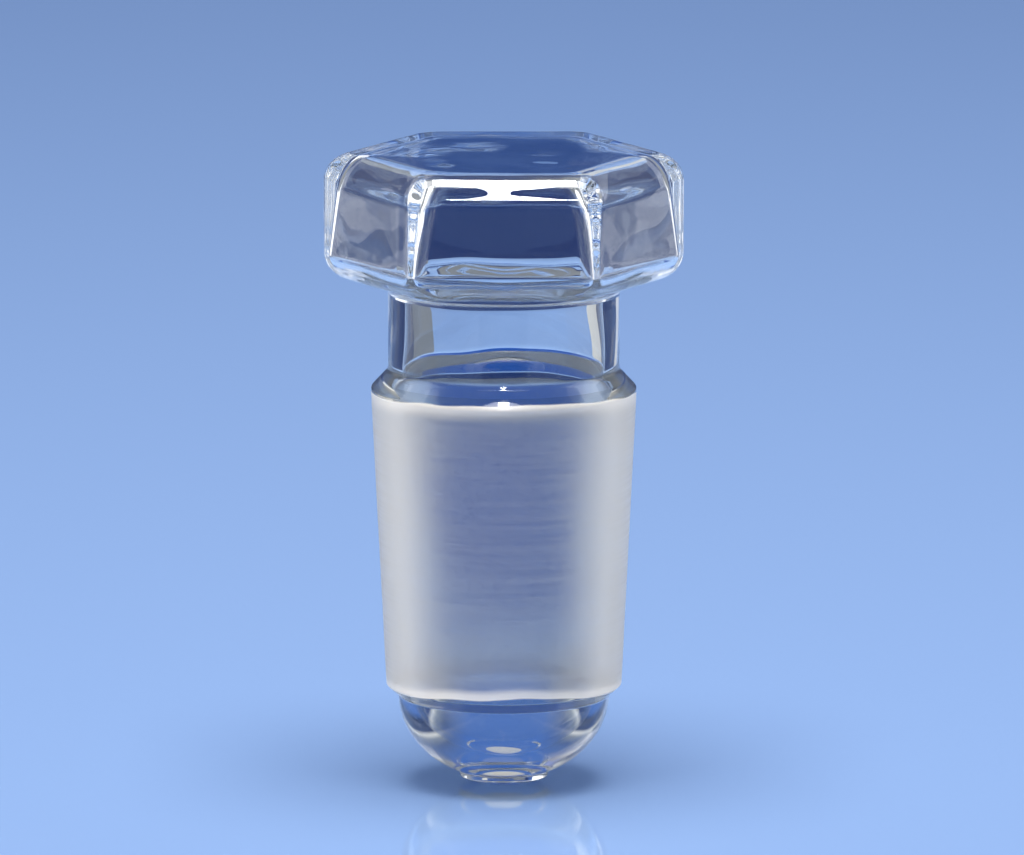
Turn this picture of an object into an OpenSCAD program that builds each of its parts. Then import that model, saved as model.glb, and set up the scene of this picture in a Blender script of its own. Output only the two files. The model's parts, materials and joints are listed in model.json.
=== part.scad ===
// Hollow glass stopper with a hexagonal head and a ground cone joint.
// Blown in one piece: head, neck, ground cone and closed end are one glass wall around
// one sealed hollow. It stands on +Z, with its origin at the middle of the tip's flat.

/* [Ground cone] */
// Diameter of the ground cone at its large end, the upper one
cone_d = 29.2; // [20:0.1:45]
// Loss of diameter for each millimetre along the ground cone
cone_taper = 0.1; // [0.05:0.01:0.15]
// Length of the ground cone
cone_h = 33.1; // [22:0.1:45]
// Wall behind the ground cone
cone_wall = 2.3; // [1.6:0.1:3]
// Radius on the cone's upper rim
rim_r = 0.5; // [0.2:0.1:0.8]

/* [Closed end] */
// Height of the dome, from the tip's flat to the chamfer
dome_h = 9.85; // [7:0.05:14]
// Wall at the side of the dome
dome_wall = 1.7; // [1.2:0.1:2.4]
// Height of the chamfer between the dome and the cone
chamfer_h = 1.2; // [0.5:0.05:2]
// How far the chamfer steps in from the cone to the dome
chamfer_step = 1.35; // [0.5:0.05:2]
// Diameter of the sealed tip where it leaves the dome
tip_d = 9.6; // [7:0.1:12]
// Height of the sealed tip below the dome's own curve
tip_h = 0.35; // [0.1:0.05:1]
// Diameter of the flat at the foot of the tip
tip_flat_d = 5.8; // [3:0.1:6.4]
// Glass left under the hollow at the tip
tip_wall = 2.6; // [1.5:0.1:4]

/* [Neck] */
// Height of the neck, from the shoulder to the underside of the head
neck_h = 9.95; // [5:0.05:20]
// Wall of the neck
neck_wall = 1.7; // [1.2:0.1:2.4]
// Height of the sloped shoulder between the cone and the neck
shoulder_h = 2.05; // [1.5:0.05:4]
// How far the shoulder steps in from the cone to the neck
shoulder_step = 1.9; // [1:0.05:3]
// Radius where the shoulder meets the neck
shoulder_r = 1; // [0.3:0.1:1.5]
// Radius where the neck meets the head
neck_r = 1.6; // [0.5:0.1:2]
// Radius of the same turn inside the hollow
throat_r = 2.6; // [1:0.1:3]

/* [Head] */
// How far the head's flats stand out past the neck
head_overhang = 4.8; // [3.6:0.1:10]
// Thickness of the head, from its underside to its top
head_h = 14; // [10:0.2:20]
// Radius of the six upright corners
corner_r = 2.5; // [1.5:0.1:4]
// Radius of the rounding on the head's upper and lower edges
edge_r = 3; // [1.5:0.1:4]
// Wall of the head, on its top and underside
head_wall = 1.8; // [1.2:0.1:2.4]
// Wall at the foot of the head's flats, its thinnest place
flat_wall = 1.2; // [0.8:0.1:2]
// How far the sides of the head's hollow lean in towards its top, in degrees
hollow_lean = 10.5; // [0:0.5:12]
// Radius of the corners and edge at the foot of the head's hollow
cavity_r = 1; // [0.5:0.1:2.5]
// Radius of the edge where the hollow's sides turn in under the top
ceiling_r = 2.8; // [1:0.1:4]
// Radius of the hollow's upright corners where they reach the top
ceiling_corner_r = 2.5; // [0.8:0.1:6]

/* [Hidden] */
$fn = 96;
// Steps of an arc in an outline, of the dome's curve, and of the head's upright corners
arc_steps = 6;
dome_steps = 14;
corner_steps = 6;
// How far one form reaches into the next, so that no two faces only touch
weld = 0.15;

cone_top_radius = cone_d / 2;
cone_foot_radius = cone_top_radius - cone_taper * cone_h / 2;
dome_radius = cone_foot_radius - chamfer_step;
neck_radius = cone_top_radius - shoulder_step;
throat_radius = neck_radius - neck_wall;
head_radius = neck_radius + head_overhang;

cone_foot_z = dome_h + chamfer_h;
cone_top_z = cone_foot_z + cone_h;
neck_foot_z = cone_top_z + shoulder_h;
head_foot_z = neck_foot_z + neck_h;
head_top_z = head_foot_z + head_h;

// The head's hollow, from the foot to the top of its sides: distance of the flats, and height
hollow_foot = [head_radius - flat_wall, head_foot_z + head_wall];
hollow_rise = head_h - 2 * head_wall;
hollow_top = hollow_foot + hollow_rise * [-tan(hollow_lean), 1];
// How far the edge at its foot reaches in across its floor
foot_reach = cavity_r / tan((90 - hollow_lean) / 2);

// The turns between neck and head end on the flat part of the underside and of the hollow's floor
neck_turn = max(0, min(neck_r, head_overhang - edge_r - weld));
throat_turn = max(0, min(throat_r, hollow_foot.x - foot_reach - throat_radius - weld));
// Slope of the shoulder, which carries its wall round the two turns
shoulder_angle = atan(shoulder_step / shoulder_h);

// Points of an arc that rounds the corner at p, between the points before and after it
function unit(v) = v / norm(v);
function rounded_corner(before, p, after, r) =
    let (
        u = unit(before - p),
        v = unit(after - p),
        half = acos(u * v) / 2,
        centre = p + unit(u + v) * r / sin(half),
        start = p + u * r / tan(half) - centre,
        side = sign(u.x * v.y - u.y * v.x),
        sweep = (180 - 2 * half) * -side
    )
    [for (i = [0:arc_steps])
        let (a = sweep * i / arc_steps)
        centre + [start.x * cos(a) - start.y * sin(a), start.x * sin(a) + start.y * cos(a)]];

// An outline of [x, z, radius] corners, each rounded by its own radius
function rounded_outline(corners) =
    [for (i = [0:len(corners) - 1])
        let (
            c = corners[i],
            p = [c.x, c.y],
            before = corners[max(i - 1, 0)],
            after = corners[min(i + 1, len(corners) - 1)]
        )
        each c.z > 0
            ? rounded_corner([before.x, before.y], p, [after.x, after.y], c.z)
            : [p]];

// A quarter ellipse of a dome, rising from the radius foot_r to its widest
function dome_curve(radius, height, top_z, foot_r) =
    let (foot_angle = acos(foot_r / radius))
    [for (i = [0:dome_steps])
        let (a = foot_angle * (1 - i / dome_steps))
        [radius * cos(a), top_z - height * sin(a)]];

// Half section of the outside, from the tip's flat to inside the head
function outer_outline() = concat(
    [[0, 0], [tip_flat_d / 2, 0]],
    dome_curve(dome_radius, dome_h - tip_h, dome_h, tip_d / 2),
    rounded_outline([
        [cone_foot_radius, cone_foot_z, 0],
        [cone_top_radius, cone_top_z, rim_r],
        [neck_radius, neck_foot_z, shoulder_r],
        [neck_radius, head_foot_z + weld, neck_turn],
        [neck_radius + neck_turn + weld, head_foot_z + weld, 0],
        [neck_radius + neck_turn + weld, head_foot_z + head_wall / 2, 0],
        [0, head_foot_z + head_wall / 2, 0],
    ])
);

// Half section of the hollow, from above the tip to inside the head's own hollow
function inner_outline() =
    let (
        drop = tan((90 - shoulder_angle) / 2),
        floor_z = hollow_foot.y
    )
    concat(
        dome_curve(dome_radius - dome_wall, dome_h - tip_wall, dome_h, 0),
        rounded_outline([
            [cone_foot_radius - cone_wall, cone_foot_z + cone_wall, 0],
            [cone_top_radius - cone_wall, cone_top_z - cone_wall * drop, rim_r + cone_wall],
            [throat_radius, neck_foot_z - neck_wall * drop, shoulder_r],
            [throat_radius, floor_z + weld, throat_turn],
            [throat_radius + throat_turn + weld, floor_z + weld, 0],
            [throat_radius + throat_turn + weld, floor_z + head_wall, 0],
            [0, floor_z + head_wall, 0],
        ])
    );

// Half section of a hexagonal block through its flats: a side from low to high, each a
// [distance of the flats, height], that turns in at both ends by an arc
function block_outline(low, high, low_edge, high_edge) = concat(
    rounded_corner([0, low.y], low, high, low_edge),
    rounded_corner(low, high, [0, high.y], high_edge)
);

// One level of the block: a hexagon with corners on the X axis, rounded to the radius corner
function hexagon_ring(flat, corner, z) =
    let (place = (flat - corner) / cos(30))
    [for (turn = [0:60:300], i = [0:corner_steps])
        let (a = turn - 30 + 60 * i / corner_steps)
        [place * cos(turn) + corner * cos(a), place * sin(turn) + corner * sin(a), z]];

// A hexagonal block with one flat to the front, lofted level by level up its outline. The
// radius of its upright corners goes evenly from low_corner at the foot to high_corner at the top.
module soft_hexagon(outline, low_corner, high_corner) {
    ring_size = 6 * (corner_steps + 1);
    levels = len(outline);
    foot_z = outline[0].y;
    top_z = outline[levels - 1].y;
    points = [for (level = outline)
        let (rise = (level.y - foot_z) / (top_z - foot_z))
        each hexagon_ring(level.x, low_corner + (high_corner - low_corner) * rise, level.y)];
    walls = [for (k = [0:levels - 2], i = [0:ring_size - 1])
        let (
            here = k * ring_size,
            above = here + ring_size,
            j = (i + 1) % ring_size
        )
        [here + i, above + i, above + j, here + j]];
    underside = [for (i = [0:ring_size - 1]) i];
    top = [for (i = [ring_size - 1:-1:0]) (levels - 1) * ring_size + i];
    polyhedron(points, concat(walls, [underside, top]), convexity = 2);
}

module head_block() {
    outline = block_outline([head_radius, head_foot_z], [head_radius, head_top_z], edge_r, edge_r);
    soft_hexagon(outline, corner_r, corner_r);
}

module head_hollow() {
    outline = block_outline(hollow_foot, hollow_top, cavity_r, ceiling_r);
    soft_hexagon(outline, cavity_r, ceiling_corner_r);
}

module stopper() {
    color("lightsteelblue", 0.6)
        difference() {
            union() {
                rotate_extrude()
                    polygon(outer_outline());
                head_block();
            }
            rotate_extrude()
                polygon(inner_outline());
            head_hollow();
        }
}

stopper();
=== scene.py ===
import json
import math

import bpy
import numpy as np
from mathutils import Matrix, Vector


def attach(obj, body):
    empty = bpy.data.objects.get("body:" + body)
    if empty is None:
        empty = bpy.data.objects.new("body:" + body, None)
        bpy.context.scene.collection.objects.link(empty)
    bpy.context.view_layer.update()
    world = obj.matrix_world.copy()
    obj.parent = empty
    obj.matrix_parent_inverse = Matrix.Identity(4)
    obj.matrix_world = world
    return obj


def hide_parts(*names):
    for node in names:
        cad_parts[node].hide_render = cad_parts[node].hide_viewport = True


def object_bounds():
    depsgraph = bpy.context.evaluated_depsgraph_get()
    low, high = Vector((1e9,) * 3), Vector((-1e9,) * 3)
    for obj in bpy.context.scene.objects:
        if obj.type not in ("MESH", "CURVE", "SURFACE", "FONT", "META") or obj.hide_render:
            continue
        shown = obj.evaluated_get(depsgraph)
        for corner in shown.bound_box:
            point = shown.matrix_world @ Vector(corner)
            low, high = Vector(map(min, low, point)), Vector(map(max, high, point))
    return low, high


# Hollow laboratory stopper, blown from one glass tube: a hexagonal head, a neck, a ground cone
# and a sealed round end. The glass is one closed mesh with two skins, outside and hollow.

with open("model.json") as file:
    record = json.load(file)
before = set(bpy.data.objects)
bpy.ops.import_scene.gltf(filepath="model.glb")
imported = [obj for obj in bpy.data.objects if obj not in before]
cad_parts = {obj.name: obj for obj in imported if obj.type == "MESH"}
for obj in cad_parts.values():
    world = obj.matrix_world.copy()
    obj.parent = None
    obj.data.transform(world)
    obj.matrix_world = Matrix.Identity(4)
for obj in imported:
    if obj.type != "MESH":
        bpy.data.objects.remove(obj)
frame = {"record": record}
cadLow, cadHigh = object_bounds()
mountHeight = {mount["name"]: mount["pos_m"][2] for mount in frame["record"]["mounts"]}
mm = 0.001

print("frame loaded, box in mm", [round(side / mm, 2) for side in cadHigh - cadLow])

# sizes of the glass that the frame doesn't give, in millimetres
glass = {
    "coneTaper": 0.05,          # radius lost for each millimetre down the ground cone
    "coneLength": 33.1,
    "coneWall": 2.3,
    "rimRound": 0.5,            # upper rim of the ground cone
    "coneFootRound": 0.25,      # where the grinding ends on the chamfer
    "coneFootInside": 4.0,      # rounding of the same turn inside
    "chamferHeight": 1.2,
    "chamferStep": 1.35,
    "domeWall": 1.7,
    "tipRadius": 4.8,           # sealed tip, where it leaves the dome
    "tipHeight": 0.35,
    "tipSide": 1.9,             # where the tip's side ends, in tip heights
    "tipFlatRadius": 2.9,
    "tipFlatRound": 0.25,
    "tipWall": 2.6,
    "beadHeight": 0.15,         # bead of glass inside, where the end was sealed
    "beadWidth": 1.5,
    "shoulderHeight": 2.05,
    "shoulderStep": 1.9,
    "shoulderRound": 1.0,
    "neckWall": 1.7,
    "neckTurn": 1.6,            # sweep of the neck into the head's underside
    "throatTurn": 2.6,          # the same sweep inside
    "turnLap": 0.05,            # how far the round stretch runs on, level, past either sweep
    "headOverhang": 4.8,        # from the neck's side out to the head's flats
    "headHeight": 14.0,
    "headWall": 1.8,
    "flatWall": 1.2,            # wall at the foot of the head's flats
    "headCorner": 2.5,          # the six upright corners
    "headEdge": 3.0,            # rounding round the head's top and underside
    "headCrown": 0.1,           # how far the flats' ends fall back from their middles
    "hollowCorner": 1.0,        # upright corners of the hollow at its floor
    "hollowCornerTop": 2.5,     # and at its ceiling
    "hollowEdge": 1.0,          # rounding round the hollow's floor
    "hollowEdgeTop": 2.8,       # and round its ceiling
    "hollowLean": 10.5,         # the hollow narrows upwards: lean of its walls, degrees
}
mesh = {
    "columns": 240,
    "crowding": 0.72,           # share by which columns gather at the six corners
    "rowStep": 0.95,            # longest gap between rows, mm
    "rowTurn": 6.0,             # largest bend between rows, degrees
    "arcSteps": 24,
    "domeSteps": 60,
    "samePoint": 1e-6,          # points of an outline closer than this are one, mm
    "fineSteps": 6000,          # points of the evenly divided outline that the rows are picked from
    "bendWindow": 41,           # how many of those points a bend is averaged over
}
waves = {
    "seed": 21,
    "outside": 0.018,           # height of the ripples of the pressed and flame-polished skin, mm
    "hollow": 0.07,             # the hollow was only blown, so its skin waves more
    "count": 14,
    "shortest": 5.0,            # wavelengths, mm
    "longest": 16.0,
    "stillHeight": 1.5,         # up to here the glass has no ripples, so that the foot stays flat, mm
    "fadeHeight": 3.0,          # over this height above it they grow to their full size, mm
}


def arc(centre, radius, fromDegrees, toDegrees):
    # centre + radius * (cos a, sin a), a going evenly between two angles
    a = np.radians(np.linspace(fromDegrees, toDegrees, mesh["arcSteps"]))
    return np.column_stack([centre[0] + radius * np.cos(a), centre[1] + radius * np.sin(a)])


def roundedLine(corners):
    # a chain of [radius, height, rounding] corners: each rounding is an arc that touches both sides,
    # its centre on the bisector at rounding / sin(half the corner's angle)
    pieces = []
    for k, (x, z, rounding) in enumerate(corners):
        here = np.array([x, z])
        if rounding <= 0 or k in (0, len(corners) - 1):
            pieces.append(here[None])
            continue
        u = np.array(corners[k - 1][:2]) - here
        v = np.array(corners[k + 1][:2]) - here
        u, v = u / np.linalg.norm(u), v / np.linalg.norm(v)
        half = math.acos(np.clip(u @ v, -1, 1)) / 2
        bisector = (u + v) / np.linalg.norm(u + v)
        centre = here + bisector * rounding / math.sin(half)
        start = here + u * rounding / math.tan(half) - centre
        end = here + v * rounding / math.tan(half) - centre
        first = math.degrees(math.atan2(start[1], start[0]))
        sweep = (math.degrees(math.atan2(end[1], end[0])) - first + 180) % 360 - 180
        pieces.append(arc(centre, rounding, first, first + sweep))
    return np.vstack(pieces)


def domeCurve(radius, height, topZ, footRadius):
    # quarter ellipse (radius * cos a, topZ - height * sin a), from where it is footRadius wide
    a = np.linspace(math.acos(footRadius / radius), 0, mesh["domeSteps"])
    return np.column_stack([radius * np.cos(a), topZ - height * np.sin(a)])


def withHex(points, hexness, corner):
    # third column: 0 where the section is a circle, 1 where it is the rounded hexagon;
    # fourth: the radius of the hexagon's corners
    n = len(points)
    return np.column_stack([points, np.broadcast_to(hexness, n), np.broadcast_to(corner, n)])


def runLength(outline):
    # length of the outline up to each of its points
    steps = np.linalg.norm(np.diff(outline[:, :2], axis=0), axis=1)
    return np.concatenate([[0], np.cumsum(steps)])


def spreadRows(outline):
    # rows crowd where the outline bends: the row number grows with length / step + bend / turn
    gaps = np.linalg.norm(np.diff(outline[:, :2], axis=0), axis=1)
    outline = outline[np.concatenate([[True], gaps > mesh["samePoint"]])]
    run = runLength(outline)
    even = np.linspace(0, run[-1], mesh["fineSteps"])
    fine = np.column_stack([np.interp(even, run, column) for column in outline.T])
    tangent = np.unwrap(np.arctan2(np.gradient(fine[:, 1]), np.gradient(fine[:, 0])))
    bend = np.abs(np.gradient(tangent))
    window = mesh["bendWindow"]
    bend = np.convolve(np.pad(bend, window // 2, mode="edge"), np.ones(window) / window, mode="valid")
    weight = np.gradient(even) / mesh["rowStep"] + bend / math.radians(mesh["rowTurn"])
    number = np.concatenate([[0], np.cumsum((weight[1:] + weight[:-1]) / 2)])
    rows = np.linspace(0, number[-1], int(round(number[-1])) + 1)
    return np.column_stack([np.interp(rows, number, column) for column in fine.T])


# heights and radii that follow from the frame
coneTopZ = mountHeight["ground_cone"] / mm
headTopZ = cadHigh.z / mm
headFlat = cadHigh.y / mm
headFootZ = headTopZ - glass["headHeight"]
neckFootZ = coneTopZ + glass["shoulderHeight"]
coneFootZ = coneTopZ - glass["coneLength"]
domeTopZ = coneFootZ - glass["chamferHeight"]
neckRadius = headFlat - glass["headOverhang"]
coneTopRadius = neckRadius + glass["shoulderStep"]
coneFootRadius = coneTopRadius - glass["coneTaper"] * glass["coneLength"]
domeRadius = coneFootRadius - glass["chamferStep"]
throatRadius = neckRadius - glass["neckWall"]


def outerOutline():
    edge = glass["headEdge"]
    edgeStart = headFlat - edge
    turnEnd = neckRadius + glass["neckTurn"]
    body = np.vstack([
        roundedLine([
            [0, 0, 0],
            [glass["tipFlatRadius"], 0, glass["tipFlatRound"]],
            [glass["tipRadius"], glass["tipHeight"] * glass["tipSide"], 0],
        ]),
        domeCurve(domeRadius, domeTopZ - glass["tipHeight"], domeTopZ, glass["tipRadius"])[1:],
        roundedLine([
            [domeRadius, domeTopZ, 0],
            [coneFootRadius, coneFootZ, glass["coneFootRound"]],
            [coneTopRadius, coneTopZ, glass["rimRound"]],
            [neckRadius, neckFootZ, glass["shoulderRound"]],
            [neckRadius, headFootZ, glass["neckTurn"]],
            [turnEnd + glass["turnLap"], headFootZ, 0],
        ])[1:],
    ])
    head = np.vstack([
        arc((edgeStart, headFootZ + edge), edge, -90, 0),
        arc((edgeStart, headTopZ - edge), edge, 0, 90),
    ])
    corner = glass["headCorner"]
    return np.vstack([withHex(body, 0, corner), withHex(head, 1, corner), [[0, headTopZ, 1, 0]]])


def hollowOutline():
    # inside, the shoulder's two turns lie lower by wall * tan(half of its slope from level)
    drop = math.tan((math.pi / 2 - math.atan(glass["shoulderStep"] / glass["shoulderHeight"])) / 2)
    coneWall = glass["coneWall"]
    neckWall = glass["neckWall"]
    domeInside = domeRadius - glass["domeWall"]
    turnEnd = throatRadius + glass["throatTurn"]
    floorZ = headFootZ + glass["headWall"]
    ceilingZ = headTopZ - glass["headWall"]
    floorEdge = glass["hollowEdge"]
    ceilingEdge = glass["hollowEdgeTop"]
    floorFlat = headFlat - glass["flatWall"]
    ceilingFlat = floorFlat - (ceilingZ - floorZ) * math.tan(math.radians(glass["hollowLean"]))
    dome = domeCurve(domeInside, domeTopZ - glass["tipWall"], domeTopZ, 0)
    # the bead: height * exp(-(radius / width)^2)
    dome[:, 1] += glass["beadHeight"] * np.exp(-(dome[:, 0] / glass["beadWidth"]) ** 2)
    body = np.vstack([
        dome,
        roundedLine([
            [domeInside, domeTopZ, 0],
            [coneFootRadius - coneWall, coneFootZ + coneWall, glass["coneFootInside"]],
            [coneTopRadius - coneWall, coneTopZ - coneWall * drop, glass["rimRound"] + coneWall],
            [throatRadius, neckFootZ - neckWall * drop, glass["shoulderRound"] + neckWall],
            [throatRadius, floorZ, glass["throatTurn"]],
            [turnEnd + glass["turnLap"], floorZ, 0],
        ])[1:],
    ])
    head = roundedLine([
        [floorFlat - 2 * floorEdge, floorZ, 0],
        [floorFlat, floorZ, floorEdge],
        [ceilingFlat, ceilingZ, ceilingEdge],
        [ceilingFlat - 2 * ceilingEdge, ceilingZ, 0],
    ])
    rise = (head[:, 1] - floorZ) / (ceilingZ - floorZ)
    corner = glass["hollowCorner"] + (glass["hollowCornerTop"] - glass["hollowCorner"]) * rise
    return np.vstack([withHex(body, 0, corner[0]), withHex(head, 1, corner), [[0, ceilingZ, 1, 0]]])


def columnAngles():
    # evenly numbered, then drawn towards the corners at 0, 60, 120 ... degrees by -crowding * sin(6t) / 6
    t = np.arange(mesh["columns"]) * 2 * math.pi / mesh["columns"]
    return t - mesh["crowding"] * np.sin(6 * t) / 6


def hexRadius(angle, flat, corner):
    # polar radius of a hexagon with rounded corners on the X axis: flat / cos(angle from the flat's
    # middle) on the flats, and p cos(b) + sqrt(corner^2 - p^2 sin(b)^2) on a corner's arc, whose
    # centre lies p = (flat - corner) / cos 30 out
    halfSide = math.pi / 6
    b = (angle + halfSide) % (2 * halfSide) - halfSide
    p = (flat - corner) / math.cos(halfSide)
    onArc = p * np.cos(b) + np.sqrt(np.maximum(corner ** 2 - (p * np.sin(b)) ** 2, 0))
    onFlat = flat / np.cos(halfSide - np.abs(b))
    arcEnd = np.arctan2(corner / 2, p + corner * math.cos(halfSide))
    return np.where(np.abs(b) < arcEnd, onArc, onFlat)


def skinPoints(rows):
    # radius = circle * (1 - hexness) + hexagon * hexness, less the crown, crown * (1 + cos(6 * angle)) / 2,
    # over a grid of rows by angles
    angle = columnAngles()[None, :]
    flat, height, hexness, corner = (rows[:, k:k + 1] for k in range(4))
    radius = flat * (1 - hexness) + hexRadius(angle, flat, corner) * hexness
    crown = glass["headCrown"] * hexness * np.clip(flat / headFlat, 0, 1)
    radius = radius - crown * (1 + np.cos(6 * angle)) / 2
    height = np.broadcast_to(height, radius.shape)
    return np.stack([radius * np.cos(angle), radius * np.sin(angle), height], -1)


def ripple(points, height, seed):
    # a sum of plane waves: height * sum(sin(k . p + phase)) / sqrt(count), k of random direction
    rng = np.random.default_rng(seed)
    count = waves["count"]
    direction = rng.normal(size=(count, 3))
    direction /= np.linalg.norm(direction, axis=1)[:, None]
    wavelength = np.exp(rng.uniform(math.log(waves["shortest"]), math.log(waves["longest"]), count))
    phase = rng.uniform(0, 2 * math.pi, count)
    k = direction * (2 * math.pi / wavelength)[:, None]
    return height * np.sin(points @ k.T + phase).sum(-1) / math.sqrt(count)


def gridNormals(points):
    # cross product of the steps along the row and up the column, for a grid closed round its rows
    along = np.roll(points, -1, axis=1) - np.roll(points, 1, axis=1)
    up = np.gradient(points, axis=0)
    normal = np.cross(along, up)
    length = np.linalg.norm(normal, axis=-1, keepdims=True)
    return normal / np.maximum(length, 1e-12)               # no division by nothing


def skinFaces(rowCount, first, inward):
    # quads between neighbouring rows, with a fan at each pole; the poles are the last two vertices
    n = mesh["columns"]
    i, j = np.meshgrid(np.arange(rowCount - 1), np.arange(n), indexing="ij")
    a, b = i * n + j, i * n + (j + 1) % n
    quads = np.stack([a, b, b + n, a + n], -1).reshape(-1, 4) + first
    j = np.arange(n)
    foot, top = first + rowCount * n, first + rowCount * n + 1
    footFan = np.stack([np.full(n, foot), first + (j + 1) % n, first + j], -1)
    last = first + (rowCount - 1) * n
    topFan = np.stack([np.full(n, top), last + j, last + (j + 1) % n], -1)
    faces = [quads, footFan, topFan]
    return [f[:, ::-1] for f in faces] if inward else faces


def buildSkin(outline, height, seed):
    # the rows of an outline, its grid of points, moved along their normals by the ripples, and its poles
    rows = spreadRows(outline)
    ring = skinPoints(rows[1:-1])
    fade = np.clip((ring[..., 2] - waves["stillHeight"]) / waves["fadeHeight"], 0, 1)
    ring = ring + gridNormals(ring) * (ripple(ring, height, seed) * fade)[..., None]
    poles = np.array([[0, 0, rows[0, 1]], [0, 0, rows[-1, 1]]])
    return rows, ring, poles


def addMesh(name, points, faces):
    # a new mesh object at the origin, its points in metres
    data = bpy.data.meshes.new(name)
    data.from_pydata(points.tolist(), [], faces)
    made = bpy.data.objects.new(name, data)
    bpy.context.scene.collection.objects.link(made)
    return made


print("working out the two skins")
outerRows, outerRing, outerPoles = buildSkin(outerOutline(), waves["outside"], waves["seed"])
hollowRows, hollowRing, hollowPoles = buildSkin(hollowOutline(), waves["hollow"], waves["seed"] + 1)
outerRing = np.clip(outerRing, np.array(cadLow) / mm, np.array(cadHigh) / mm)    # no ripple leaves the box
print("rows", len(outerRows), len(hollowRows))

outerCount = outerRing.shape[0] * mesh["columns"] + len(outerPoles)
vertices = np.vstack([outerRing.reshape(-1, 3), outerPoles, hollowRing.reshape(-1, 3), hollowPoles]) * mm
outerFaces = skinFaces(outerRing.shape[0], 0, False)
hollowFaces = skinFaces(hollowRing.shape[0], outerCount, True)
faceList = [face for part in outerFaces + hollowFaces for face in part.tolist()]
stopper = addMesh("blown_glass", vertices, faceList)
stopper.data.update()
stopper.data.polygons.foreach_set("use_smooth", [True] * len(faceList))
print("glass made, faces", len(faceList))


def linear(hexColour):
    # sRGB hex to linear: ((c + 0.055) / 1.055) ^ 2.4 above 0.04045, c / 12.92 below
    c = np.array([int(hexColour[k:k + 2], 16) for k in (1, 3, 5)]) / 255
    c = np.where(c > 0.04045, ((c + 0.055) / 1.055) ** 2.4, c / 12.92)
    return (*c.tolist(), 1.0)


def fillRamp(ramp, stops):
    # gives a ramp its (position, colour) stops; it starts with two elements of its own
    for position, colour in stops[2:]:
        ramp.elements.new(position)
    for element, (position, colour) in zip(ramp.elements, sorted(stops)):
        element.position = position
        element.color = linear(colour)


def node(tree, kind, settings=None, **inputs):
    # adds one node: settings are its own properties, or the stops of its ramp, and inputs its
    # sockets by name, or by number as n0, n1 and so on, each a value or a link
    made = tree.nodes.new(kind)
    for name, value in (settings or {}).items():
        if name == "stops":
            fillRamp(made.color_ramp, value)
        else:
            setattr(made, name, value)
    for name, value in inputs.items():
        key = int(name[1:]) if name[0] == "n" and name[1:].isdigit() else name.replace("_", " ")
        socket = made.inputs[key]
        if isinstance(value, bpy.types.NodeSocket):
            tree.links.new(value, socket)
        else:
            socket.default_value = value
    return made


def newMaterial(name):
    material = bpy.data.materials.new(name)
    material.use_nodes = True
    material.node_tree.nodes.clear()
    return material, material.node_tree


clearLook = {"tint": "#F6F9FB", "ior": 1.47, "roughness": 0.0}


def clearGlass():
    # borosilicate glass, blown and flame polished: colourless, sharp reflections
    material, tree = newMaterial("blownBorosilicate")
    shader = node(tree, "ShaderNodeBsdfPrincipled", Base_Color=linear(clearLook["tint"]),
                  Roughness=clearLook["roughness"], IOR=clearLook["ior"], Transmission_Weight=1.0)
    node(tree, "ShaderNodeOutputMaterial", Surface=shader.outputs[0])
    return material


groundLook = {
    "tint": "#DADAD4",
    "roughness": 0.36,
    "roughnessSpread": 0.07,    # how much the lines change it, either way
    "clearness": 0.89,          # share of the light that goes through the satin skin, seen squarely
    "slantClearness": 0.45,     # and seen at a slant, where the skin scatters more
    "slant": (0.06, 0.48),      # where that change starts and ends, 0 square on and 1 edge on
    # the two ends of the grinding, in mm: height above the tip; tilt, how far the end runs up at the
    # front and down at the back; side, 1 where the ground zone lies above it and -1 below; band, from
    # where to where the whiter band beside it fades, and clearness, its least share of clear light
    "ends": [
        {"height": 10.5, "tilt": 0.95, "side": 1.0, "band": (0.45, 1.5), "clearness": 0.35},
        {"height": 43.9, "tilt": 0.6, "side": -1.0, "band": (0.0, 2.0), "clearness": 0.4},
    ],
    "endWave": 0.25,            # how far the ends wander up and down, mm
    "endWaveLength": 9.0,
    "endSoftness": 0.18,        # over this much the satin sets in, mm
    "overRim": 0.9,             # the ground faces reach this far over the rim, past the satin's end, mm
    "lineHeight": 0.35,         # real grinding lines are a fifth of this: drawn coarser, to show
    "lineLength": 50 / 3,       # they run round the cone, so they hardly change along it
    "lineDepth": 0.006,
    "spotSize": 0.6,
    "spotDepth": 0.03,
    "noiseRange": (0.3, 0.7),   # nearly all of a noise texture lies between these
    "cutRange": (0.7, 1.3),     # and of two of them added
}


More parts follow.
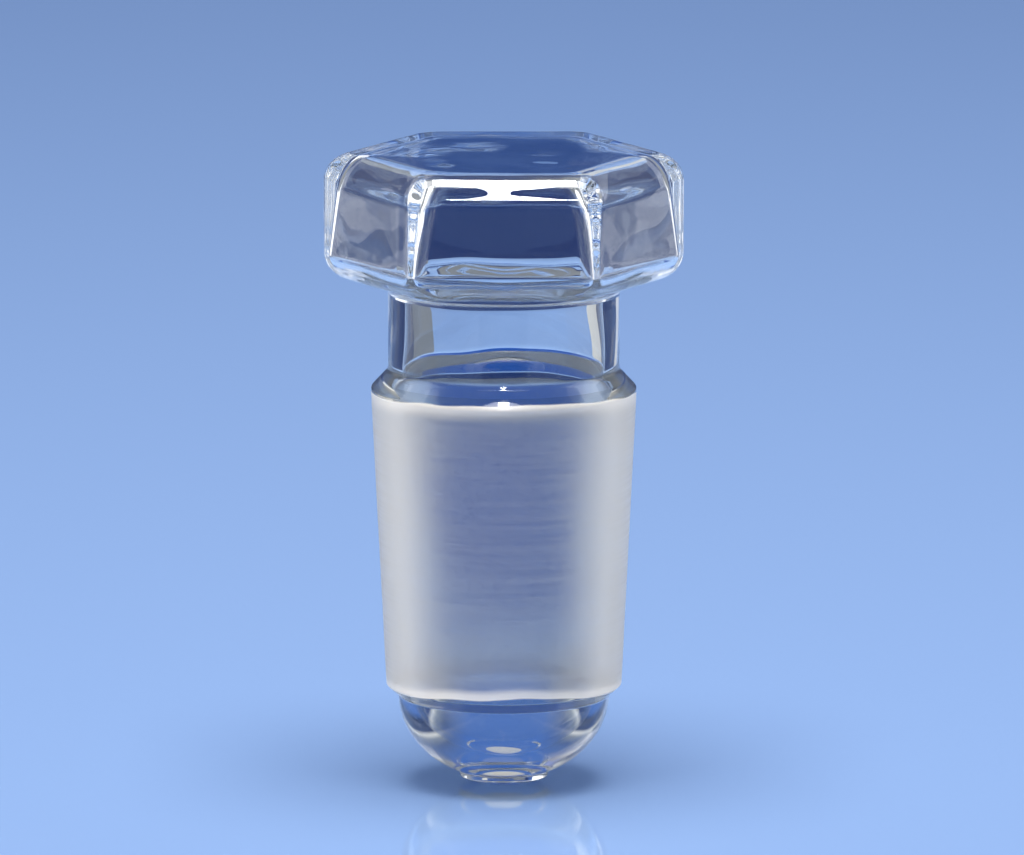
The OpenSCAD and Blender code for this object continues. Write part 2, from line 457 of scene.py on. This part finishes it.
def groundGlass():
    # borosilicate glass ground with carborundum on a spindle: satin, blurs what lies behind it,
    # with fine level lines, whiter beside both of its uneven ends and clear beyond them
    look = groundLook
    material, tree = newMaterial("groundBorosilicate")
    place = node(tree, "ShaderNodeTexCoord").outputs["Object"]
    axes = node(tree, "ShaderNodeSeparateXYZ", Vector=place)
    slow = node(tree, "ShaderNodeTexNoise", Vector=place, Scale=1 / (look["endWaveLength"] * mm),
                Detail=1.0).outputs[0]
    wave = node(tree, "ShaderNodeMapRange", Value=slow,
                From_Min=look["noiseRange"][0], From_Max=look["noiseRange"][1],
                To_Min=-look["endWave"] * mm, To_Max=look["endWave"] * mm).outputs[0]

    satins = []
    bands = []
    for end in look["ends"]:
        # distance from the grinding's end, height + tilt * (towards the front) + wave, into the ground zone
        slope = node(tree, "ShaderNodeMath", {"operation": "MULTIPLY_ADD"}, n0=axes.outputs["Y"],
                     n1=-end["tilt"] / coneFootRadius, n2=wave).outputs[0]
        level = node(tree, "ShaderNodeMath", {"operation": "ADD"}, n0=slope,
                     n1=end["height"] * mm).outputs[0]
        gap = node(tree, "ShaderNodeMath", {"operation": "SUBTRACT"}, n0=axes.outputs["Z"],
                   n1=level).outputs[0]
        inside = node(tree, "ShaderNodeMath", {"operation": "MULTIPLY"}, n0=gap, n1=end["side"]).outputs[0]
        satins.append(node(tree, "ShaderNodeMapRange", {"interpolation_type": "SMOOTHSTEP"}, Value=inside,
                           From_Min=0.0, From_Max=look["endSoftness"] * mm).outputs[0])
        bands.append(node(tree, "ShaderNodeMapRange", {"interpolation_type": "SMOOTHSTEP"}, Value=inside,
                          From_Min=end["band"][0] * mm, From_Max=end["band"][1] * mm,
                          To_Min=end["clearness"], To_Max=1.0).outputs[0])
    frost = node(tree, "ShaderNodeMath", {"operation": "MULTIPLY"}, n0=satins[0], n1=satins[1]).outputs[0]
    endBands = node(tree, "ShaderNodeMath", {"operation": "MINIMUM"}, n0=bands[0], n1=bands[1]).outputs[0]

    facing = node(tree, "ShaderNodeLayerWeight").outputs["Facing"]
    slanted = node(tree, "ShaderNodeMapRange", {"interpolation_type": "SMOOTHSTEP"}, Value=facing,
                   From_Min=look["slant"][0], From_Max=look["slant"][1],
                   To_Min=look["clearness"], To_Max=look["slantClearness"]).outputs[0]
    satinClearness = node(tree, "ShaderNodeMath", {"operation": "MULTIPLY"}, n0=endBands,
                          n1=slanted).outputs[0]

    # level lines: noise squeezed along the axis
    across = 1 / (look["lineLength"] * mm)
    stretch = node(tree, "ShaderNodeVectorMath", {"operation": "MULTIPLY"}, n0=place,
                   n1=(across, across, 1 / (look["lineHeight"] * mm))).outputs[0]
    lines = node(tree, "ShaderNodeTexNoise", Vector=stretch, Scale=1.0, Detail=2.0).outputs[0]
    # the abrasive cuts a little deeper in some spots: those scatter more and look paler
    spots = node(tree, "ShaderNodeTexNoise", Vector=place, Scale=1 / (look["spotSize"] * mm),
                 Detail=3.0).outputs[0]
    cut = node(tree, "ShaderNodeMath", {"operation": "ADD"}, n0=lines, n1=spots).outputs[0]
    evenness = node(tree, "ShaderNodeMapRange", Value=cut,
                    From_Min=look["cutRange"][0], From_Max=look["cutRange"][1],
                    To_Min=1 + look["spotDepth"], To_Max=1 - look["spotDepth"]).outputs[0]
    cutClearness = node(tree, "ShaderNodeMath", {"operation": "MULTIPLY"}, n0=satinClearness,
                        n1=evenness).outputs[0]

    clearness = node(tree, "ShaderNodeMapRange", Value=frost, To_Min=1.0, To_Max=cutClearness).outputs[0]
    rough = node(tree, "ShaderNodeMapRange", Value=lines,
                 From_Min=look["noiseRange"][0], From_Max=look["noiseRange"][1],
                 To_Min=look["roughness"] - look["roughnessSpread"],
                 To_Max=look["roughness"] + look["roughnessSpread"]).outputs[0]
    roughness = node(tree, "ShaderNodeMath", {"operation": "MULTIPLY"}, n0=rough, n1=frost).outputs[0]
    bump = node(tree, "ShaderNodeBump", Strength=frost, Distance=look["lineDepth"] * mm, Height=lines)
    shader = node(tree, "ShaderNodeBsdfPrincipled", Base_Color=linear(look["tint"]), Roughness=roughness,
                  IOR=clearLook["ior"], Transmission_Weight=clearness, Normal=bump.outputs[0])
    node(tree, "ShaderNodeOutputMaterial", Surface=shader.outputs[0])
    return material


stopper.data.materials.append(clearGlass())
stopper.data.materials.append(groundGlass())
faceRows = np.repeat(np.arange(outerRing.shape[0] - 1), mesh["columns"])
midHeight = (outerRows[1:-2, 1] + outerRows[2:-1, 1]) / 2
isGround = (midHeight > domeTopZ) & (midHeight < coneTopZ + groundLook["overRim"])
slots = np.zeros(len(faceList), int)                        # 0 is the clear glass, 1 the ground glass
slots[:len(faceRows)] = isGround[faceRows]
stopper.data.polygons.foreach_set("material_index", slots)
print("clear and ground glass made, ground faces", int(slots.sum()))

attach(stopper, "root")
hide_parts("stopper")


def hideFrom(thing, kinds):
    # kinds of light path, such as camera or glossy, for which the thing isn't there
    for kind in kinds:
        setattr(thing, "visible_" + kind, False)


def disc(radius, height, sides, ahead=0.0):
    # corners (radius * cos a, radius * sin a - ahead, height) of a flat disc, and its one face
    a = np.arange(sides) * 2 * math.pi / sides
    corners = np.column_stack([radius * np.cos(a), radius * np.sin(a) - ahead, np.full(sides, height)])
    return corners, [list(range(sides))]


def ribbon(oneSide, otherSide):
    # the points of two lines of the same number of points, and the quads between them
    n = len(oneSide)
    j = np.arange(n - 1)
    return np.vstack([oneSide, otherSide]), np.stack([j, j + 1, j + 1 + n, j + n], -1).tolist()


floorLook = {
    "colour": "#9DBCEB",
    "roughness": 0.06,
    "radius": 2.2,              # metres
    "drop": 0.05,               # how far it lies under the tip's flat, so that the two never mix, mm
    "sides": 96,
}


def addFloor():
    # cast acrylic sheet, pale blue: smooth enough to mirror the stopper's foot
    floor = addMesh("floor", *disc(floorLook["radius"], -floorLook["drop"] * mm, floorLook["sides"]))
    material, tree = newMaterial("paleAcrylic")
    shader = node(tree, "ShaderNodeBsdfPrincipled", Base_Color=linear(floorLook["colour"]),
                  Roughness=floorLook["roughness"])
    node(tree, "ShaderNodeOutputMaterial", Surface=shader.outputs[0])
    floor.data.materials.append(material)


# what lies all round, by the upward part of the direction
surroundings = {
    "room": [(0.2, "#A3A6AA"), (0.9, "#8A8D92")],           # grey walls, and a darker ceiling
    "backdrop": [(0.0, "#22386A"), (0.07, "#243B6E"), (0.14, "#4A68A6"), (0.3, "#5F7FBC")],
    "backdropSides": (0.70, 0.88),      # the blue backdrop fades in between these backward parts
    "backdropTop": (0.22, 0.45),        # and out between these upward parts
}


def addWorld():
    world = bpy.data.worlds.new("studio")
    bpy.context.scene.world = world
    world.use_nodes = True
    tree = world.node_tree
    tree.nodes.clear()
    direction = node(tree, "ShaderNodeTexCoord").outputs["Generated"]
    axes = node(tree, "ShaderNodeSeparateXYZ", Vector=direction)
    room = node(tree, "ShaderNodeValToRGB", {"stops": surroundings["room"]}, Fac=axes.outputs["Z"])
    backdrop = node(tree, "ShaderNodeValToRGB", {"stops": surroundings["backdrop"]}, Fac=axes.outputs["Z"])
    sides = node(tree, "ShaderNodeMapRange", {"interpolation_type": "SMOOTHSTEP"}, Value=axes.outputs["Y"],
                 From_Min=surroundings["backdropSides"][0],
                 From_Max=surroundings["backdropSides"][1]).outputs[0]
    low = node(tree, "ShaderNodeMapRange", {"interpolation_type": "SMOOTHSTEP"}, Value=axes.outputs["Z"],
               From_Min=surroundings["backdropTop"][1],
               From_Max=surroundings["backdropTop"][0]).outputs[0]
    share = node(tree, "ShaderNodeMath", {"operation": "MULTIPLY"}, n0=sides, n1=low).outputs[0]
    mix = node(tree, "ShaderNodeMix", {"data_type": "RGBA"}, n0=share, n6=room.outputs["Color"],
               n7=backdrop.outputs["Color"]).outputs[2]
    back = node(tree, "ShaderNodeBackground", Color=mix, Strength=1.0)
    node(tree, "ShaderNodeOutputWorld", Surface=back.outputs[0])


# square soft lamps: places, aims and sides in metres, powers in watts. The warm ones light the satin
# and are never seen themselves, the rim lamps only show in reflections and through the glass, and
# the top one lights the floor too
lamps = {
    "softboxLeft": {"place": (-0.58, -0.38, 0.3), "aim": (0, 0, 0.035), "side": 0.5, "power": 4.6,
                    "colour": "#FFF0E0", "stopperOnly": True, "hidden": ["transmission", "glossy"]},
    "softboxRight": {"place": (0.7, 0.08, 0.3), "aim": (0, 0, 0.035), "side": 0.5, "power": 4.6,
                     "colour": "#FFF0E0", "stopperOnly": True, "hidden": ["transmission", "glossy"]},
    "softboxFront": {"place": (0.0, -0.8, 0.5), "aim": (0, 0, 0.03), "side": 0.4, "power": 3.6,
                     "colour": "#FFF0E0", "stopperOnly": True, "hidden": ["transmission", "glossy"]},
    "rimLeft": {"place": (-0.7, 0.1, 0.45), "aim": (0, 0, 0.06), "side": 0.6, "power": 1.6,
                "colour": "#FFFFFF", "stopperOnly": True, "hidden": ["diffuse"]},
    "rimRight": {"place": (0.7, 0.1, 0.45), "aim": (0, 0, 0.06), "side": 0.6, "power": 2.0,
                 "colour": "#FFFFFF", "stopperOnly": True, "hidden": ["diffuse"]},
    "softboxTop": {"place": (0.0, -0.1, 0.9), "aim": (0, 0, 0), "side": 0.6, "power": 10.0,
                   "colour": "#FFFFFF", "stopperOnly": False, "hidden": ["transmission"]},
}


def addSoftbox(name, look, litAlone):
    # litAlone is the collection with the stopper: light linking keeps a strong lamp off the pale floor
    data = bpy.data.lights.new(name, "AREA")
    data.shape = "RECTANGLE"
    data.size = look["side"]
    data.size_y = look["side"]
    data.energy = look["power"]
    data.color = linear(look["colour"])[:3]
    lamp = bpy.data.objects.new(name, data)
    lamp.location = look["place"]
    towards = Vector(look["aim"]) - Vector(look["place"])
    lamp.rotation_euler = towards.to_track_quat("-Z", "Y").to_euler()
    hideFrom(lamp, ["camera"] + look["hidden"])
    bpy.context.scene.collection.objects.link(lamp)
    if look["stopperOnly"]:
        lamp.light_linking.receiver_collection = litAlone


def addGlowing(name, shape, colour, strength, hidden):
    # a glowing card: the camera doesn't see it, it casts no shadow and it lights no matt surface
    card = addMesh(name, *shape)
    material, tree = newMaterial(name)
    glow = node(tree, "ShaderNodeEmission", Color=linear(colour), Strength=strength)
    node(tree, "ShaderNodeOutputMaterial", Surface=glow.outputs[0])
    card.data.materials.append(material)
    hideFrom(card, ["camera", "diffuse", "shadow", hidden])
    return tree, glow


highlightStrip = {
    "strength": 45.0,
    "distance": 0.12,           # from the head's top front edge, metres
    "low": 12.0,                # elevations between which it runs, degrees
    "high": 108.0,
    "waist": 45.0,              # elevation of its narrowest place
    "reach": 28.0,
    "narrow": 3.4,              # half widths, mm
    "spread": 6.0,
    "wide": 10.0,
    "steps": 48,
}


def addHighlightStrip():
    # a bright strip bent round the front top edge of the head, as far in front as above. Its half width
    # is narrow + spread * ((elevation - waist) / reach)^2, at most wide, so it has a waist
    look = highlightStrip
    elevation = np.linspace(look["low"], look["high"], look["steps"])
    half = look["narrow"] + look["spread"] * ((elevation - look["waist"]) / look["reach"]) ** 2
    half = np.minimum(half, look["wide"]) * mm
    level = np.zeros(look["steps"])
    a = np.radians(elevation)
    middle = np.array([0, -(headFlat - glass["headEdge"]) * mm, (headTopZ - glass["headEdge"]) * mm])
    out = np.column_stack([level, -np.cos(a), np.sin(a)]) * look["distance"] + middle
    side = np.column_stack([half, level, level])
    addGlowing("highlightStrip", ribbon(out - side, out + side), "#FFFFFF", look["strength"], "transmission")


# upright curved glowing cards round the stopper, seen only through the glass: the dark ones are painted
# shade and the grey and white ones painted light, the bands that the glass shows. Each: colour, strength,
# distance from the axis in metres, from and to azimuth in degrees counted from behind it, foot and top in
# metres
cards = {
    # painted shade: the dark middle of the ground cone, seen through its satin
    "coneShadePainted": ("#0C50B2", 1.0, 0.045, -21, 21, 0.008, 0.034),
    # painted shade: the navy seen through the head's window
    "backShadePainted": ("#0A2A68", 1.0, 0.2, -18, 18, 0.03, 0.2),
    # painted shade and light: the dark, grey, white and dark bands at the edges of the neck and head
    "leftShadePainted": ("#1A2C5E", 1.0, 0.2, -50, -19, 0.0, 0.032),
    "greyLeft": ("#7C828C", 1.0, 0.2, -19, -8, 0.0, 0.03),
    "whiteRight": ("#E8E6E2", 1.0, 0.2, 14, 25, 0.0, 0.03),
    "rightShadePainted": ("#1A2C5E", 1.0, 0.2, 25, 50, 0.0, 0.032),
    # painted light: glowing white cards that make the ground cone's sides and the head's side flats pale
    "cardLeftLow": ("#FFFFFF", 0.4, 0.2, -105, -56, 0.0, 0.035),
    "cardRightLow": ("#FFFFFF", 0.5, 0.2, 56, 105, 0.0, 0.035),
    "cardLeft": ("#FFFFFF", 1.6, 0.2, -75, -28, 0.036, 0.12),
    "cardRight": ("#FFFFFF", 1.3, 0.2, 45, 110, 0.036, 0.125),
}
cardSteps = 24


def addCard(name, colour, strength, distance, fromAzimuth, toAzimuth, foot, top):
    # an upright curved card, distance * (sin a, cos a), seen through the glass but not in reflections: its
    # glow is painted shade where it is dark and painted light where it is pale
    a = np.radians(np.linspace(fromAzimuth, toAzimuth, cardSteps))
    edge = np.column_stack([distance * np.sin(a), distance * np.cos(a)])
    lower = np.column_stack([edge, np.full(cardSteps, foot)])
    upper = np.column_stack([edge, np.full(cardSteps, top)])
    addGlowing(name, ribbon(lower, upper), colour, strength, "glossy")


# flat round glowing cards just over the floor, in millimetres. The end card and the tip card are what the
# clear round end shows, which looks down on the floor: the end card a blue with painted dark edge bands and
# a painted pale streak, the tip card a painted pool of light under the tip, where real glass would gather
# light. The front card is a painted dark reflection, mirrored in the head's front flat. stops, where there
# are any, are the colours outwards to both sides, from the middle
floorCards = {
    # painted dark edge bands and a painted pale streak, seen through the round end
    "endPaintedBands": {
        "colour": "#4A72BC", "height": -0.04, "radius": 50.0, "ahead": 0.0, "hidden": "glossy",
        "stops": [(0, "#4A72BC"), (5, "#4A72BC"), (9.5, "#52648C"), (11.5, "#8A93A0"), (12.8, "#E0E1DF"),
                  (14.2, "#33426A"), (19, "#26365C"), (24, "#4A72BC")],
    },
    # painted pool of light under the tip
    "tipLightPool": {
        "colour": "#DAD6CC", "height": -0.02, "radius": 2.4, "ahead": 0.0, "hidden": "glossy", "stops": [],
    },
    # painted dark reflection in the head's front flat
    "frontPaintedReflection": {
        "colour": "#1C2C5C", "height": 0.1, "radius": 160.0, "ahead": 380.0, "hidden": "transmission",
        "stops": [],
    },
}
floorCardSides = 48


def addFloorCard(name, look):
    radius = look["radius"]
    shape = disc(radius * mm, look["height"] * mm, floorCardSides, look["ahead"] * mm)
    tree, glow = addGlowing(name, shape, look["colour"], 1.0, look["hidden"])
    if look["stops"]:
        # the ramp, the painted bands, runs over |X| / radius
        axes = node(tree, "ShaderNodeSeparateXYZ", Vector=node(tree, "ShaderNodeTexCoord").outputs["Object"])
        aside = node(tree, "ShaderNodeMath", {"operation": "ABSOLUTE"}, n0=axes.outputs["X"]).outputs[0]
        share = node(tree, "ShaderNodeMath", {"operation": "DIVIDE"}, n0=aside, n1=radius * mm).outputs[0]
        stops = [(distance / radius, colour) for distance, colour in look["stops"]]
        ramp = node(tree, "ShaderNodeValToRGB", {"stops": stops}, Fac=share)
        tree.links.new(ramp.outputs["Color"], glow.inputs["Color"])


cameraLook = {
    "elevation": 10.3,          # degrees above level
    "distance": 1.5,            # metres
    "lens": 480.0,
    "sensor": 36.0,
    "aside": 0.9,               # where it aims, from the middle of the stopper, mm
    "above": 4.5,
}


def addCamera():
    centre = (cadLow + cadHigh) / 2
    aim = Vector((cameraLook["aside"] * mm, 0, centre.z + cameraLook["above"] * mm))
    elevation = math.radians(cameraLook["elevation"])
    away = Vector((0, -math.cos(elevation), math.sin(elevation)))
    data = bpy.data.cameras.new("camera")
    data.lens = cameraLook["lens"]
    data.sensor_width = cameraLook["sensor"]
    camera = bpy.data.objects.new("camera", data)
    camera.location = aim + away * cameraLook["distance"]
    camera.rotation_euler = (-away).to_track_quat("-Z", "Y").to_euler()
    bpy.context.scene.collection.objects.link(camera)
    bpy.context.scene.camera = camera


addFloor()
addWorld()
stopperAlone = bpy.data.collections.new("litAlone")
stopperAlone.objects.link(stopper)
for name, look in lamps.items():
    addSoftbox(name, look, stopperAlone)
for name, values in cards.items():
    addCard(name, *values)
for name, look in floorCards.items():
    addFloorCard(name, look)
addHighlightStrip()
print("studio set, lamps", len(lamps), "cards", len(cards) + len(floorCards))

addCamera()
bounces = 96                    # light crosses the thick corners of the head many times
scene = bpy.context.scene
scene.view_settings.view_transform = "Standard"
scene.cycles.max_bounces = bounces
scene.cycles.transmission_bounces = bounces
scene.cycles.glossy_bounces = bounces
print("camera set")
